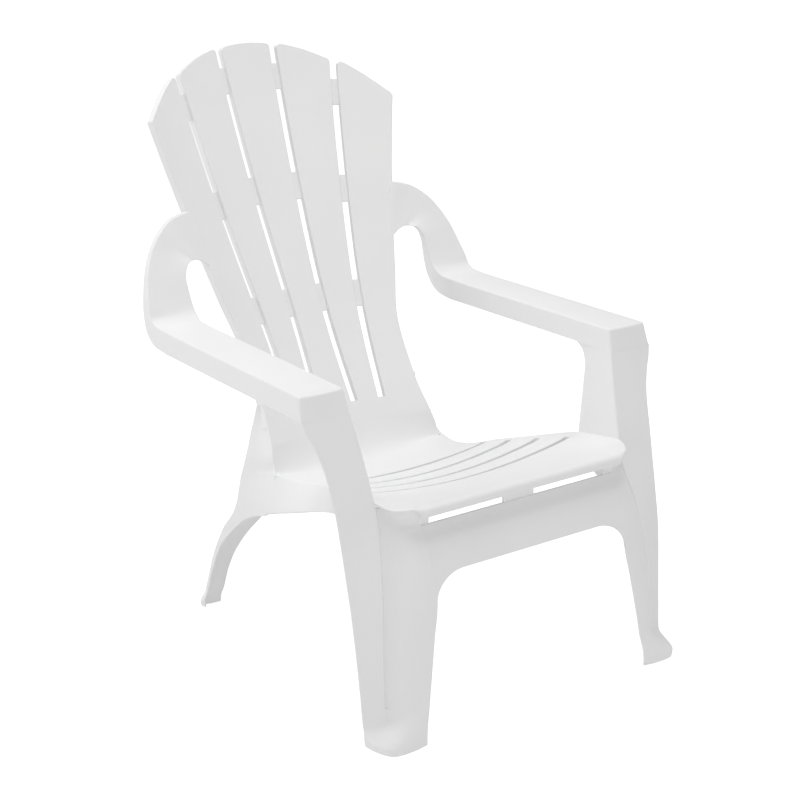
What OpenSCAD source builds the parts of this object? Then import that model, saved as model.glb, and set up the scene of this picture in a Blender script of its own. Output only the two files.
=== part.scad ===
// Moulded plastic adirondack chair: fan back of five slats, dished slotted seat, wide flat arms.
// The front faces -Y and the floor is z = 0. Heights are above the floor. Depths in the tables
// below are measured from a datum near the middle of the seat, and place() moves that datum so
// that the origin is under the middle of the whole chair.

/* [Overall] */
// Width across the outside of the arms
overall_w = 706; // [690:1:720]
// Height of the top of the middle back slat
overall_h = 966; // [950:1:985]
// Distance from the datum forward to the middle of the chair's depth
datum_back = 136.35; // [130:0.05:142]
// Wall thickness of the moulding
wall = 4.5; // [3.5:0.5:5.5]

/* [Back] */
// Radius of the arc along the slat tops
top_arc_r = 375; // [340:5:420]
// Radius of the hollow across the back
back_hollow_r = 430; // [380:5:520]
// Gap between two back slats
slat_gap = 13; // [9:0.5:15]
// Depth of the turned-back rim along each slat
slat_rim = 13.5; // [9:0.5:16]
// Height of the lower end of the back slots
slot_floor = 353; // [345:1:365]
// How far the bridges lie behind the slat faces
bridge_inset = 6.5; // [5:0.5:7.5]

/* [Seat] */
// Height of the seat's front edge
seat_front_h = 368; // [360:1:376]
// Width of the slots across the seat
seat_slot = 11; // [6:0.5:12]
// Distance between seat slots
seat_slot_pitch = 55; // [50:1:58]
// Depth of the lip that hangs from the front of the seat
nose_lip = 15; // [12:1:17]

/* [Arms] */
// Height of the arm tops
arm_h = 545; // [535:1:555]
// Depth of the skirts under the arm
arm_skirt = 37; // [30:1:44]

/* [Legs] */
// Height of the feet, up to where they leave the lines of the legs
foot_h = 60; // [54:1:66]
// Height of the arch under the front apron
apron_arch_h = 264; // [258:1:274]
// Height of the top edge of the front apron
apron_top_h = 335; // [328:1:340]

/* [Hidden] */
plastic = "#f2f3f0";

half_w = overall_w / 2;
back_hollow = 1 / (2 * back_hollow_r);
back_foot_z = 322;
first_slot_y = 76;
bend_y = 200;
rear_apron_top = 344;
arm_front_y = -136;
arm_rear_y = 280;
arm_draft = 4;
cheek_top_z = 363;
cheek_x = 194;
arch_side_z = 219;
arch_x = 137;
web_y = -229;
rear_plate_x = 130;
roll_r = 9;
nose_y = -242;
groove_depth = 4;
skirt_z = arm_h - arm_skirt;

// ---- Tables of [where, value], read by smooth() ----
// Seat height along the middle, by depth
seat_line = [
    [-250, seat_front_h + 3], [-225, seat_front_h - 2], [-150, 343], [-90, 327],
    [20, 301], [76, 290], [140, 279], [bend_y, 270]
];
// Half width of the seat, by depth
seat_edge = [
    [-250, 204], [-240, 217], [-226, 233], [-212, 243.5], [-198, 248], [-182, 249], [-92, 250],
    [-30, 222], [20, 200], [76, 182], [110, 174], [150, 172], [bend_y, 180]
];
// Hollow across the seat, in rise per square of the distance from the middle, by depth
seat_hollow = [
    [-250, 0], [-222, 0.02], [-190, 0.24], [-130, 0.4], [-87, 0.47], [-10, 0.56],
    [50, 0.56], [90, 0.38], [120, 0.27], [160, 0.25], [bend_y, 0.4]
];
// Half width of the back, by height
back_edge = [
    [back_foot_z, 172], [353, 167], [384, 164], [480, 165], [563, 185], [711, 218],
    [871, 253.5], [970, 275]
];
// Distance from the middle to the inner and to the outer slots, by height
inner_slot = [[340, 38], [505, 35], [736, 46], [970, 57.5]];
outer_slot = [[340, 91], [505, 104], [736, 137], [970, 170]];
// Depth of the front face of the legs above the seat and of their outer strip below it, by height
stem_y = [
    [0, -246], [114, -235], [210, -224], [271, -212], [331, -199], [381, -187],
    [455, -164], [508, -147], [545, arm_front_y]
];
// Depth of the apron's face and of the cheeks that carry it down to the feet, by height
apron_y = [
    [0, -297], [71, -292], [168, -282], [240, -273], [280, -262], [310, -248],
    [335, -233], [cheek_top_z, -234]
];
// Outer edge of the front legs, by height
leg_outer = [
    [0, 311], [46, 312], [114, 314], [210, 318], [331, 321], [381, 323], [432, 328],
    [466, 337], [490, 347], [508, 352]
];
// Inner edge of the leg's face: the groove below the seat, the crease above it
leg_crease = [
    [0, 280], [71, 276], [168, 272], [260, 262], [340, 248], [381, 250], [455, 257],
    [508, 264], [545, 268]
];
// How far the leg's face leans forward from its outer edge to the groove, by height
leg_lean = [[0, 16], [240, 16], [331, 2], [350, 0]];
// Depth of the rear edge of the leg's inner panel, by height
panel_rear = [
    [0, -236], [71, -229], [114, -222], [168, -208], [210, -190], [270, -146],
    [318, -93], [345, -91], [455, -90], [480, -87], [498, -76], [508, -60]
];
// Inner edge of the apron cheeks, by height
cheek_inner = [
    [0, 228], [71, 219], [168, 203], [arch_side_z, cheek_x], [334, cheek_x],
    [335, cheek_x], [338, 179], [345, 179], [cheek_top_z, 179]
];
// Lower edge of the seat's side skirt by depth, and its half width there
skirt_low_z = [[-92, 319], [-34, 301], [98, 252], [165, 228], [bend_y, 215]];
skirt_low_x = [[-92, 250], [-34, 232], [40, 212], [98, 204], [165, 203], [bend_y, 206]];
// Depth of the rear plate, by height
rear_y = [[176, 303], [200, 293], [222, 290], [262, 291], [310, 291], [345, 288]];
// Rear leg from top to foot: front edge x, y, z, then rear edge x, y, z, then inner half width
rear_leg_rows = [
    [161, 268, 380, 173, 278, 386, 130],
    [164, 253, 357, 180, 284, 355, 130],
    [165, 249, 351, 182, 285, 346, 130],
    [170.5, 232, 328, 186, 287, 320, 130],
    [176, 219, 301, 191, 290, 293, 130],
    [177, 212, 284, 196, 294, 268, 130],
    [178, 198, 282, 199, 298, 248, 130],
    [191, 198, 252, 202, 298, 232, 130],
    [206, 198, 215, 205, 297, 216, 130],
    [209, 222, 205, 209, 299, 200, 130],
    [211, 243, 196, 211, 302, 190, 130],
    [214, 268, 180, 214, 310, 176, 130],
    [218, 294, 156, 218, 325, 156, 139],
    [223, 317, 130, 223, 336, 130, 160],
    [227, 328, 110, 227, 342, 110, 174],
    [232, 334, 88, 232, 346, 88, 187],
    [238, 339, foot_h, 238, 348, foot_h, 199]
];
// Foot outline on the floor: x, y, then the heights between which the leg spreads out to it
front_spread = [
    [228, -298, 60, 4], [250, -302, 60, 6], [274, -303, 58, 8], [288, -301, 50, 8],
    [298, -294, 44, 10], [304, -283, 42, 10], [309, -266, 38, 12], [311, -244, 36, 12]
];
rear_spread = [
    [252, 340, 26, 8], [256, 348, 26, 8], [252, 356, 26, 8], [232, 351, 26, 8], [214, 350, 26, 8]
];
// Outward and rearward lean of the rear legs, per mm down
rear_lean = [0.227, 0.091];
// Arm bend, from the arm to the back: inner edge, outer edge
bend_rows = [
    [[258, arm_rear_y, 545], [339, arm_rear_y, 545]],
    [[257, 308, 547], [339, 315, 547]],
    [[255, 328, 558], [339, 331, 554]],
    [[255, 342, 578], [337, 342, 573]],
    [[255, 353, 602], [331, 355, 598]],
    [[249, 363, 622], [322, 368, 626]],
    [[238, 371, 631], [306, 382, 656]],
    [[224, 378, 632], [283, 394, 683]],
    [[210, 378, 627], [252, 406, 703]],
    [[198, 377.5, 618], [217, 411, 711]],
    [[193, 378.9, 616], [212, 413.6, 709]]
];
// Depth and direction of the bend's skirts, row by row: how much of the skirt still points down
bend_skirt = [37, 35, 29, 22, 17, 14, 12, 11, 10, 9, 8];
bend_down = [1, 0.9, 0.65, 0.35, 0.15, 0, 0, 0, 0, 0, 0];
// Bridges: lower and upper height in the outer slots, then in the inner slots
bridge_rows = [[850, 896, 884, 929], [682, 729, 694, 741], [505, 550, 505, 551]];

// ---- Reading the tables ----
function slope(t, i) = let (a = t[max(i - 1, 0)], b = t[min(i + 1, len(t) - 1)])
    (b[1] - a[1]) / (b[0] - a[0]);
function span_of(t, k, i = 0) = i >= len(t) - 2 || k < t[i + 1][0] ? i : span_of(t, k, i + 1);
function hermite(a, b, ma, mb, w, u) =
    a * (2 * u ^ 3 - 3 * u ^ 2 + 1) + b * (3 * u ^ 2 - 2 * u ^ 3)
    + ma * w * (u ^ 3 - 2 * u ^ 2 + u) + mb * w * (u ^ 3 - u ^ 2);
function smooth_in(t, k, i) = hermite(t[i][1], t[i + 1][1], slope(t, i), slope(t, i + 1),
    t[i + 1][0] - t[i][0], (k - t[i][0]) / (t[i + 1][0] - t[i][0]));
function smooth(t, k) = let (inside = min(max(k, t[0][0]), t[len(t) - 1][0]))
    smooth_in(t, inside, span_of(t, inside));
function mix(a, b, u) = a * (1 - u) + b * u;
function unit(v) = v / norm(v);
function ease(u) = let (w = min(max(u, 0), 1)) w ^ 2 * (3 - 2 * w);

// ---- The seat and back surface ----
function seat_pt(x, y) = [x, y, smooth(seat_line, y) + smooth(seat_hollow, y) / 1000 * x ^ 2];
// The back leans by lean at lean_z and stands up straighter above it
lean_z = 380;
lean_y = 296;
lean = 0.5844;
straighten = 0.000205;
function back_mid(z) = lean_y + lean * (z - lean_z) - straighten * (z - lean_z) ^ 2;
function back_lean(z) = lean - 2 * straighten * (z - lean_z);
function back_pt(x, z) = [x, back_mid(z) - back_hollow * x ^ 2, z];
function back_normal(x, z) = unit([2 * back_hollow * x, 1, -back_lean(z)]);
// Curve from the seat (u = 0) into the back (u = 1)
bend_start = [bend_y, 270];
bend_corner = [227.5, 266.3];
bend_end = [back_mid(back_foot_z), back_foot_z];
bend_pull = 0.67;
function bend_mid(u) =
    bend_start * (1 - u) ^ 3
    + mix(bend_start, bend_corner, bend_pull) * 3 * u * (1 - u) ^ 2
    + mix(bend_end, bend_corner, bend_pull) * 3 * u ^ 2 * (1 - u)
    + bend_end * u ^ 3;
function bend_pt(x, u) = let (p = bend_mid(u), rise = smooth(seat_hollow, bend_y) / 1000)
    [x, p[0] - back_hollow * u * x ^ 2, p[1] + rise * (1 - u) * x ^ 2];
function slat_top(x) = overall_h - top_arc_r + sqrt(top_arc_r ^ 2 - x ^ 2);

// ---- Closed solids from grids of points ----
// Normal of the strip between points j and j + 1 of row i
function strip_normal(g, i, j) =
    unit(cross(g[min(i + 1, len(g) - 1)][j] - g[max(i - 1, 0)][j], g[i][j + 1] - g[i][j]));
function corner_normal(a, b) = (a + b) / max(1 + a * b, 0.35);
function point_normal(g, i, j) = j == 0 ? strip_normal(g, i, 0)
    : j == len(g[0]) - 1 ? strip_normal(g, i, j - 1)
    : corner_normal(strip_normal(g, i, j - 1), strip_normal(g, i, j));
function offset_grid(g, t) = [for (i = [0:len(g) - 1])
    [for (j = [0:len(g[0]) - 1]) g[i][j] + t * point_normal(g, i, j)]];
// The same thickness measured level, so that a sheet ends flat on the floor or on the next piece
function flat_unit(v) = unit([v[0], v[1], 0]);
function level_grid(g, t) = [for (i = [0:len(g) - 1])
    [for (j = [0:len(g[0]) - 1]) g[i][j] + t * flat_unit(point_normal(g, i, j))]];
function quad(a, b, c, d) = [[a, b, c], [a, c, d]];
// Faces between two grids of n rows of m points: both surfaces, both sides, both ends
function sheet_faces(n, m) = let (s = n * m) concat(
    [for (i = [0:n - 2], j = [0:m - 2], k = [i * m + j], q = quad(k, k + m, k + m + 1, k + 1)) q],
    [for (i = [0:n - 2], j = [0:m - 2], k = [s + i * m + j], q = quad(k, k + 1, k + m + 1, k + m)) q],
    [for (i = [0:n - 2], k = [i * m], q = quad(k, s + k, s + k + m, k + m)) q],
    [for (i = [0:n - 2], k = [i * m + m - 1], q = quad(k, k + m, s + k + m, s + k)) q],
    [for (j = [0:m - 2], q = quad(j, j + 1, s + j + 1, s + j)) q],
    [for (j = [0:m - 2], k = [(n - 1) * m + j], q = quad(k, s + k, s + k + 1, k + 1)) q]
);
function flatten(g) = [for (row = g, p = row) p];
function volume(p, f) =
    len(f) == 0 ? 0 : [for (t = f) p[t[0]] * cross(p[t[1]], p[t[2]])] * [for (t = f) 1];
function reverse_faces(f) = [for (t = f) [t[2], t[1], t[0]]];
// Solid between two grids of the same size
module between(outer, inner) {
    p = concat(flatten(outer), flatten(inner));
    f = sheet_faces(len(outer), len(outer[0]));
    polyhedron(points = p, faces = volume(p, f) > 0 ? reverse_faces(f) : f, convexity = 6);
}
// Sheet of the wall's thickness, on the side that the sign of t gives
module sheet(g, t) {
    between(g, offset_grid(g, t));
}
module level_sheet(g, t) {
    between(g, level_grid(g, t));
}
module place() {
    translate([0, -datum_back, 0]) color(plastic) children();
}
module side(right) {
    mirror([right ? 0 : 1, 0, 0]) children();
}

// ---- Back ----
// Left and right edge of slat k by height: k = 0 is the middle slat, 2 the outermost
function slat_left(k, z) = slat_gap / 2
    + (k == 0 ? -smooth(inner_slot, z) : k == 1 ? smooth(inner_slot, z) : smooth(outer_slot, z));
function slat_right(k, z) = k == 0 ? smooth(inner_slot, z) - slat_gap / 2
    : k == 1 ? smooth(outer_slot, z) - slat_gap / 2
    : smooth(back_edge, z);
// Where the line at fraction u across slat k meets the arc of the tops
slat_pitch = 100;
function top_x(k, u, x, n = 4) = n == 0 ? x
    : let (z = slat_top(x)) top_x(k, u, mix(slat_left(k, z), slat_right(k, z), u), n - 1);
// Row of points across slat k at fraction v of its height, depth inside its front surface
function slat_row(k, v, cols, depth) = [for (j = [0:cols])
    let (u = j / cols, z = mix(slot_floor, slat_top(top_x(k, u, slat_pitch * k)), v))
    let (x = mix(slat_left(k, z) + depth, slat_right(k, z) - depth, u))
    [back_pt(x, z) + depth * back_normal(x, z), back_pt(x, z) + slat_rim * back_normal(x, z)]];
// The row with its turned-back rims
function rimmed_row(k, v, cols, depth) = let (row = slat_row(k, v, cols, depth))
    concat([row[0][1]], [for (p = row) p[0]], [row[cols][1]]);
module slat(k) {
    rows = 15;
    cols = 5;
    between([for (i = [0:rows]) rimmed_row(k, i / rows, cols, 0)],
        [for (i = [0:rows]) rimmed_row(k, i / rows, cols, wall)]);
    // The top edge turns back as deep as the sides
    low = 1 - wall / (slat_top(slat_pitch * k) - slot_floor);
    top = slat_row(k, 1, cols, 0);
    under = slat_row(k, low, cols, 0);
    between([for (d = [0, 1]) [for (p = top) p[d]]], [for (d = [0, 1]) [for (p = under) p[d]]]);
}
module back_slat_1() place() side(false) slat(2);
module back_slat_2() place() side(false) slat(1);
module back_slat_3() place() slat(0);
module back_slat_4() place() side(true) slat(1);
module back_slat_5() place() side(true) slat(2);

// One bridge plate across a slot, between two heights
module bridge(table, z0, z1) {
    half = slat_gap / 2;
    g = [for (z = [z0, (z0 + z1) / 2, z1]) [for (d = [-half, half])
        let (x = smooth(table, z) + d) back_pt(x, z) + bridge_inset * back_normal(x, z)]];
    sheet(g, wall);
}
module bridges(row) {
    place() for (right = [false, true]) side(right) {
        bridge(outer_slot, row[0], row[1]);
        bridge(inner_slot, row[2], row[3]);
    }
}
module upper_bridges() bridges(bridge_rows[0]);
module middle_bridges() bridges(bridge_rows[1]);
module lower_bridges() bridges(bridge_rows[2]);

// Solid lower back: the bend out of the seat and the panel up to the slots
module lumbar_panel() {
    cols = 12;
    bend_steps = 9;
    back_steps = 3;
    bulge = 40;
    foot = smooth(seat_edge, bend_y);
    top = smooth(back_edge, back_foot_z);
    bend_rings = [for (i = [0:bend_steps])
        let (u = i / bend_steps, e = mix(foot, top, u) + bulge * u * (1 - u) ^ 3)
        [for (j = [0:cols]) bend_pt(mix(-e, e, j / cols), u)]];
    back_rings = [for (i = [1:back_steps])
        let (z = mix(back_foot_z, slot_floor, i / back_steps), e = smooth(back_edge, z))
        [for (j = [0:cols]) back_pt(mix(-e, e, j / cols), z)]];
    place() sheet(concat(bend_rings, back_rings), wall);
}

// ---- Seat ----
seat_cols = 12;
function slot_y(n) = first_slot_y - n * seat_slot_pitch;
// Width of the rim beside the slots, by depth
function strip_w(y) = max(6, 13 - 0.11 * (y - 20));
function plank_grid(y0, y1, rows, inset) = [for (i = [0:rows])
    let (y = mix(y0, y1, i / rows), e = smooth(seat_edge, y) - inset * strip_w(y))
    [for (j = [0:seat_cols]) seat_pt(mix(-e, e, j / seat_cols), y)]];
module seat_slat(y0, y1) {
    place() sheet(plank_grid(y0, y1, 4, 1), wall);
}
module seat_slat_1() seat_slat(slot_y(0) + seat_slot / 2, bend_y);
module seat_slat_2() seat_slat(slot_y(1) + seat_slot / 2, slot_y(0) - seat_slot / 2);
module seat_slat_3() seat_slat(slot_y(2) + seat_slot / 2, slot_y(1) - seat_slot / 2);
module seat_slat_4() seat_slat(slot_y(3) + seat_slot / 2, slot_y(2) - seat_slot / 2);
// Front plank, which rolls over into the hanging lip; the lip runs out toward its ends
function run_out(j) = ease(14 * (1 - abs(2 * j / seat_cols - 1)));
module seat_nose() {
    corner = 4;
    quarter = 90;
    flat = plank_grid(nose_y, slot_y(3) - seat_slot / 2, 6, 0);
    hem = nose_lip - roll_r;
    thin = 0.6;
    roll = [for (a = [quarter:-22.5:22.5]) let (e = smooth(seat_edge, nose_y) - corner * (1 - a / quarter))
        [for (j = [0:seat_cols]) seat_pt(mix(-e, e, j / seat_cols), nose_y)
            - roll_r * mix(thin, 1, run_out(j)) * [0, sin(a), 1 - cos(a)]]];
    lip = [for (j = [0:seat_cols]) roll[0][j] - [0, 0, thin + hem * run_out(j)]];
    place() sheet(concat([lip], roll, flat), wall);
}
// Rim of the seat beside the slots, with the skirt below it
module seat_side(right) {
    rows = 14;
    corner = 3;
    g = [for (i = [0:rows])
        let (y = mix(slot_y(3) - seat_slot / 2, bend_y, i / rows), e = smooth(seat_edge, y))
        let (rim = seat_pt(e, y), hem = [smooth(skirt_low_x, y), y, smooth(skirt_low_z, y)])
        [seat_pt(e - strip_w(y), y), seat_pt(e - corner, y), rim - [0, 0, corner],
            mix(rim, hem, 0.5), hem]];
    place() side(right) sheet(g, wall);
}
module seat_side_left() seat_side(false);
module seat_side_right() seat_side(true);

// ---- Front apron ----
arch_drop = apron_arch_h - arch_side_z;
function arch_curve(x) = 1 - sqrt(max(0, 1 - ((abs(x) - arch_x) / (cheek_x - arch_x)) ^ 2));
function arch_z(x) = abs(x) <= arch_x ? apron_arch_h : apron_arch_h - arch_drop * arch_curve(x);
function apron_col(x, rows) = [for (i = [0:rows])
    let (z = mix(arch_z(x), apron_top_h, i / rows)) [x, smooth(apron_y, z), z]];
module front_apron() {
    turn = [for (a = [0:15:90]) arch_x + (cheek_x - arch_x) * sin(a)];
    half = concat([arch_x / 3, arch_x * 2 / 3], turn);
    xs = concat([for (i = [len(half) - 1:-1:0]) -half[i]], [0], half);
    place() level_sheet([for (x = xs) apron_col(x, 7)], -wall);
}
// Web that stands behind the apron's top edge and carries the seat's front, with two long slots
module apron_web() {
    post = 31;
    slot_end = 178;
    web_x = 198;
    slot_h = 21;
    slot_low = apron_top_h - 4;
    low_z = apron_top_h - 10;
    cols = 12;
    underside = [for (j = [cols:-1:-cols]) let (x = web_x * j / cols) [x, seat_pt(x, web_y)[2] - wall]];
    place() translate([0, web_y + wall / 2, 0]) rotate([90, 0, 0]) linear_extrude(wall) difference() {
        polygon(concat([[-web_x, low_z], [web_x, low_z]], underside));
        for (s = [-1, 1]) translate([s * (post + slot_end) / 2, slot_low + slot_h / 2])
            square([slot_end - post, slot_h], center = true);
    }
}
// Cheek: the part of the front leg that the apron runs down into, inside the groove
function groove_y(z) = smooth(stem_y, z) - smooth(leg_lean, z);
groove_w = 13;
groove_side = 15;
function cheek_row(z) =
    let (xi = smooth(cheek_inner, z), xg = smooth(leg_crease, z), xe = xg - groove_w)
    let (yf = smooth(apron_y, z), yg = groove_y(z), ye = max(yf + 4, yg - groove_side))
    [[xi, yf, z], [mix(xi, xe, 0.4), mix(yf, ye, 0.12), z], [mix(xi, xe, 0.78), mix(yf, ye, 0.5), z],
        [xe, ye, z], [mix(xe, xg, 0.6), mix(ye, yg, 0.72), z], [xg, yg + groove_depth, z]];
module apron_cheek(right) {
    rows = 14;
    g = concat([for (i = [0:rows]) cheek_row(mix(foot_h, apron_top_h, i / rows))],
        [for (z = [338, 345, cheek_top_z]) cheek_row(z)]);
    place() side(right) level_sheet(g, wall);
}
module apron_cheek_left() apron_cheek(false);
module apron_cheek_right() apron_cheek(true);

// ---- Front legs ----
function leg_row(z) =
    let (xc = smooth(leg_crease, z), xo = smooth(leg_outer, z), yp = smooth(panel_rear, z))
    let (ys = smooth(stem_y, z), yg = groove_y(z), crown = 1.5)
    [[xc, yp, z], [xc, mix(yp, yg, 0.5), z], [xc, yg, z], [mix(xc, xo, 0.5), mix(yg, ys, 0.5) - crown, z],
        [xo, ys, z]];
module front_leg(right) {
    rows = 20;
    g = [for (i = [0:rows]) leg_row(mix(foot_h, skirt_z, i / rows))];
    place() side(right) level_sheet(g, wall);
}
module front_leg_left() front_leg(false);
module front_leg_right() front_leg(true);
// Row of a foot at height z: the leg's line below the range of heights becomes the spread outline
function foot_row(spread, leg, z) = [for (j = [0:len(spread) - 1])
    let (s = spread[j], u = ease((z - s[3]) / (s[2] - s[3])))
    [mix(s[0], leg[j][0], u), mix(s[1], leg[j][1], u), z]];
foot_steps = 8;
// Open behind; its toe spreads outward toward the floor
module front_foot(right) {
    g = [for (i = [0:foot_steps]) let (z = foot_h * i / foot_steps, c = cheek_row(z), l = leg_row(z))
        foot_row(front_spread, [c[0], c[1], c[2], c[3], c[4], l[2], l[3], l[4]], z)];
    place() side(right) level_sheet(g, wall);
}
module front_foot_left() front_foot(false);
module front_foot_right() front_foot(true);

// ---- Rear legs ----
// Depth of the rear plate, kept just behind the back's own wall where the two run close
function plate_y(x, y, z) = z <= slot_floor - 45 ? y
    : max(y, back_mid(z) - back_hollow * x ^ 2 + 1.18 * wall);
function rear_row(r) = concat(
    [[r[0], r[1], r[2]], [(r[0] + r[3]) / 2, (r[1] + r[4]) / 2, (r[2] + r[5]) / 2], [r[3], r[4], r[5]]],
    [for (u = [0.5, 1]) let (x = mix(r[3], r[6], u)) [x, plate_y(x, r[4], r[5]), r[5]]]);
module rear_leg(right) {
    place() side(right) level_sheet([for (r = rear_leg_rows) rear_row(r)], -wall);
}
module rear_leg_left() rear_leg(false);
module rear_leg_right() rear_leg(true);
module rear_foot(right) {
    top = rear_row(rear_leg_rows[len(rear_leg_rows) - 1]);
    g = [for (i = [0:foot_steps]) let (z = foot_h * i / foot_steps, down = foot_h - z)
        foot_row(rear_spread, [for (p = top) [p[0] + down * rear_lean[0], p[1] + down * rear_lean[1]]], z)];
    place() side(right) level_sheet(g, wall);
}
module rear_foot_left() rear_foot(false);
module rear_foot_right() rear_foot(true);
// Plate across the back under the seat, between the rear legs
module rear_apron() {
    rows = 7;
    cols = 10;
    low_z = 176;
    rise = 18;
    g = [for (j = [0:cols]) let (u = 2 * j / cols - 1, x = rear_plate_x * u, z0 = low_z + rise * (1 - u ^ 2))
        [for (i = [0:rows]) let (z = mix(z0, rear_apron_top, i / rows))
            [x, plate_y(x, smooth(rear_y, z), z), z]]];
    place() level_sheet(g, -wall);
}

// ---- Arms ----
// Inner and outer edge of the arm's top, by fraction of its length
function arm_inner(u) = mix(268, 258, u);
function arm_outer(u) = mix(half_w - 5, half_w - 14, u);
function arm_row(u, lead) = let (xi = arm_inner(u), xo = arm_outer(u), crown = 1.5)
    let (y = mix(arm_front_y, arm_rear_y, u))
    [[xi - arm_draft, y - lead, skirt_z], [xi, y, arm_h],
        [mix(xi, xo, 0.5), y - lead / 3, arm_h + crown],
        [xo, y, arm_h], [xo + arm_draft, y - lead, skirt_z]];
module arm(right) {
    rows = 6;
    lead = smooth(stem_y, arm_h) - smooth(stem_y, skirt_z);
    inset = wall - 1;
    g = [for (i = [0:rows]) arm_row(i / rows, i == 0 ? lead : 0)];
    face = [for (u = [0, 0.5, 1])
        let (z = mix(skirt_z, arm_h - inset, u), y = smooth(stem_y, z), spread = arm_draft * (1 - u) - inset)
        let (a = arm_inner(0) - spread, b = arm_outer(0) + spread, crown = mix(1.5, 3.5, u))
        [[a, y, z], [mix(a, b, 0.5), y - crown, z], [b, y, z]]];
    place() side(right) {
        sheet(g, wall);
        level_sheet(face, wall);
    }
}
module arm_left() arm(false);
module arm_right() arm(true);
module arm_bend(right) {
    g = [for (i = [0:len(bend_rows) - 1])
        let (a = bend_rows[i][0], b = bend_rows[i][1], down = bend_down[i])
        let (d = bend_skirt[i] * unit([0, 1 - down, -down]), spread = [arm_draft * down, 0, 0])
        [a + d - spread, a, mix(a, b, 0.5), b, b + d + spread]];
    place() side(right) sheet(g, wall);
}
module arm_bend_left() arm_bend(false);
module arm_bend_right() arm_bend(true);

back_slat_1();
back_slat_2();
back_slat_3();
back_slat_4();
back_slat_5();
upper_bridges();
middle_bridges();
lower_bridges();
lumbar_panel();
seat_slat_1();
seat_slat_2();
seat_slat_3();
seat_slat_4();
seat_nose();
seat_side_left();
seat_side_right();
front_apron();
apron_web();
apron_cheek_left();
apron_cheek_right();
front_leg_left();
front_leg_right();
front_foot_left();
front_foot_right();
rear_apron();
rear_leg_left();
rear_leg_right();
rear_foot_left();
rear_foot_right();
arm_left();
arm_right();
arm_bend_left();
arm_bend_right();
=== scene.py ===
from math import cos, pi, radians, sin, sqrt

import bmesh
import bpy
import numpy as np
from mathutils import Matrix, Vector


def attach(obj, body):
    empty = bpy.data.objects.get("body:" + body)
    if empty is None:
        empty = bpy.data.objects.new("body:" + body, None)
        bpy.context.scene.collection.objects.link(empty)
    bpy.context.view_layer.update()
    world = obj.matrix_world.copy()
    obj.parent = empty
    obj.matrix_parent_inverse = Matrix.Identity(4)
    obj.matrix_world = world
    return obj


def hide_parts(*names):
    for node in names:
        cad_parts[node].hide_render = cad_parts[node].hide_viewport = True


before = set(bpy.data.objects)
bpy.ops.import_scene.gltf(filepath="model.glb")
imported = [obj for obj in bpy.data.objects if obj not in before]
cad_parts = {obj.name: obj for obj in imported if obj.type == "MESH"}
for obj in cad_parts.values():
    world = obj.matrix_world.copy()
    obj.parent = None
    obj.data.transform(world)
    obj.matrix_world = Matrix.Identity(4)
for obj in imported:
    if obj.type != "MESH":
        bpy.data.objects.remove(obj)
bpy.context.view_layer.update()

# A moulded plastic adirondack chair. The front faces -Y and the floor is z = 0. Shapes are worked
# out in millimetres, with depths from a datum near the middle of the seat, as the frame's were.
MM = 0.001
DATUM_BACK = 136.35
HALF_W = 353.0
OVERALL_H = 966.0
WALL = 4.5
EDGE_R = 1.2
EDGE_STEPS = 3
ARC_STEPS = 5
# A border edge this close to a dividing line joins the next piece there
NEAR = 0.5

TOP_ARC_R = 375.0
BACK_HOLLOW = 1 / (2 * 430.0)
SLAT_GAP = 13.0
SLAT_RIM = 13.5
SLAT_CORNER = 6.0
RIM_RADIUS = 2.6
SLOT_FLOOR = 353.0
BRIDGE_INSET = 6.5
BRIDGE_BITE = 1.0
BACK_FOOT_Z = 322.0
LEAN_Z = 380.0
LEAN_Y = 296.0
LEAN = 0.5844
LEAN_CURVE = 0.000205
BEND_Z = 270.0
BEND_PULL = (227.5, 266.3)
BEND_WEIGHT = 0.67

SEAT_FRONT_H = 368.0
SEAT_SLOT = 11.0
SEAT_SLOT_PITCH = 55.0
FIRST_SLOT_Y = 76.0
NOSE_LIP = 15.0
NOSE_Y = -242.0
NOSE_R = 9.0
NOSE_CORNER = 4.0
NOSE_END_BAND = 14.0
PLANK_DROP = 1.5
PLANK_ROLL = 6.0
PLANK_FADE = 12.0
LUMBAR_BULGE = 40.0
BEND_Y = 200.0
SKIRT_END_Y = 200.0

ARM_H = 545.0
ARM_FRONT_Y = -136.0
ARM_REAR_Y = 280.0
ARM_DRAFT = 4.0
ARM_CROWN = 1.5
SKIRT_Z = 508.0
ARM_INNER = (268.0, 258.0)
ARM_OUTER = (HALF_W - 5, HALF_W - 14)
FRONT_BULGE = (1.5, 3.5)

FOOT_H = 60.0
REAR_APRON_TOP = 344.0
ARCH_Z = 264.0
ARCH_SIDE_Z = 219.0
ARCH_X = 137.0
CHEEK_X = 194.0
CHEEK_TOP_Z = 363.0
APRON_TOP_Z = 335.0
WEB_Y = -229.0
WEB_X = 198.0
WEB_POST = 31.0
WEB_SLOT_END = 178.0
WEB_SLOT_H = 21.0
WEB_SLOT_LOW = APRON_TOP_Z - 4
WEB_LOW_Z = APRON_TOP_Z - 10
GROOVE_W = 13.0
GROOVE_SIDE = 15.0
GROOVE_DEPTH = 4.0
GROOVE_TUCK = 1.2
REAR_APRON_HALF = 130.0
REAR_APRON_LOW = 176.0
REAR_APRON_ARCH = 18.0
PLATE_GAP = 1.18 * WALL
PLATE_BENDS_Z = SLOT_FLOOR - 45
CREASE_ANGLE = 42

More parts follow.
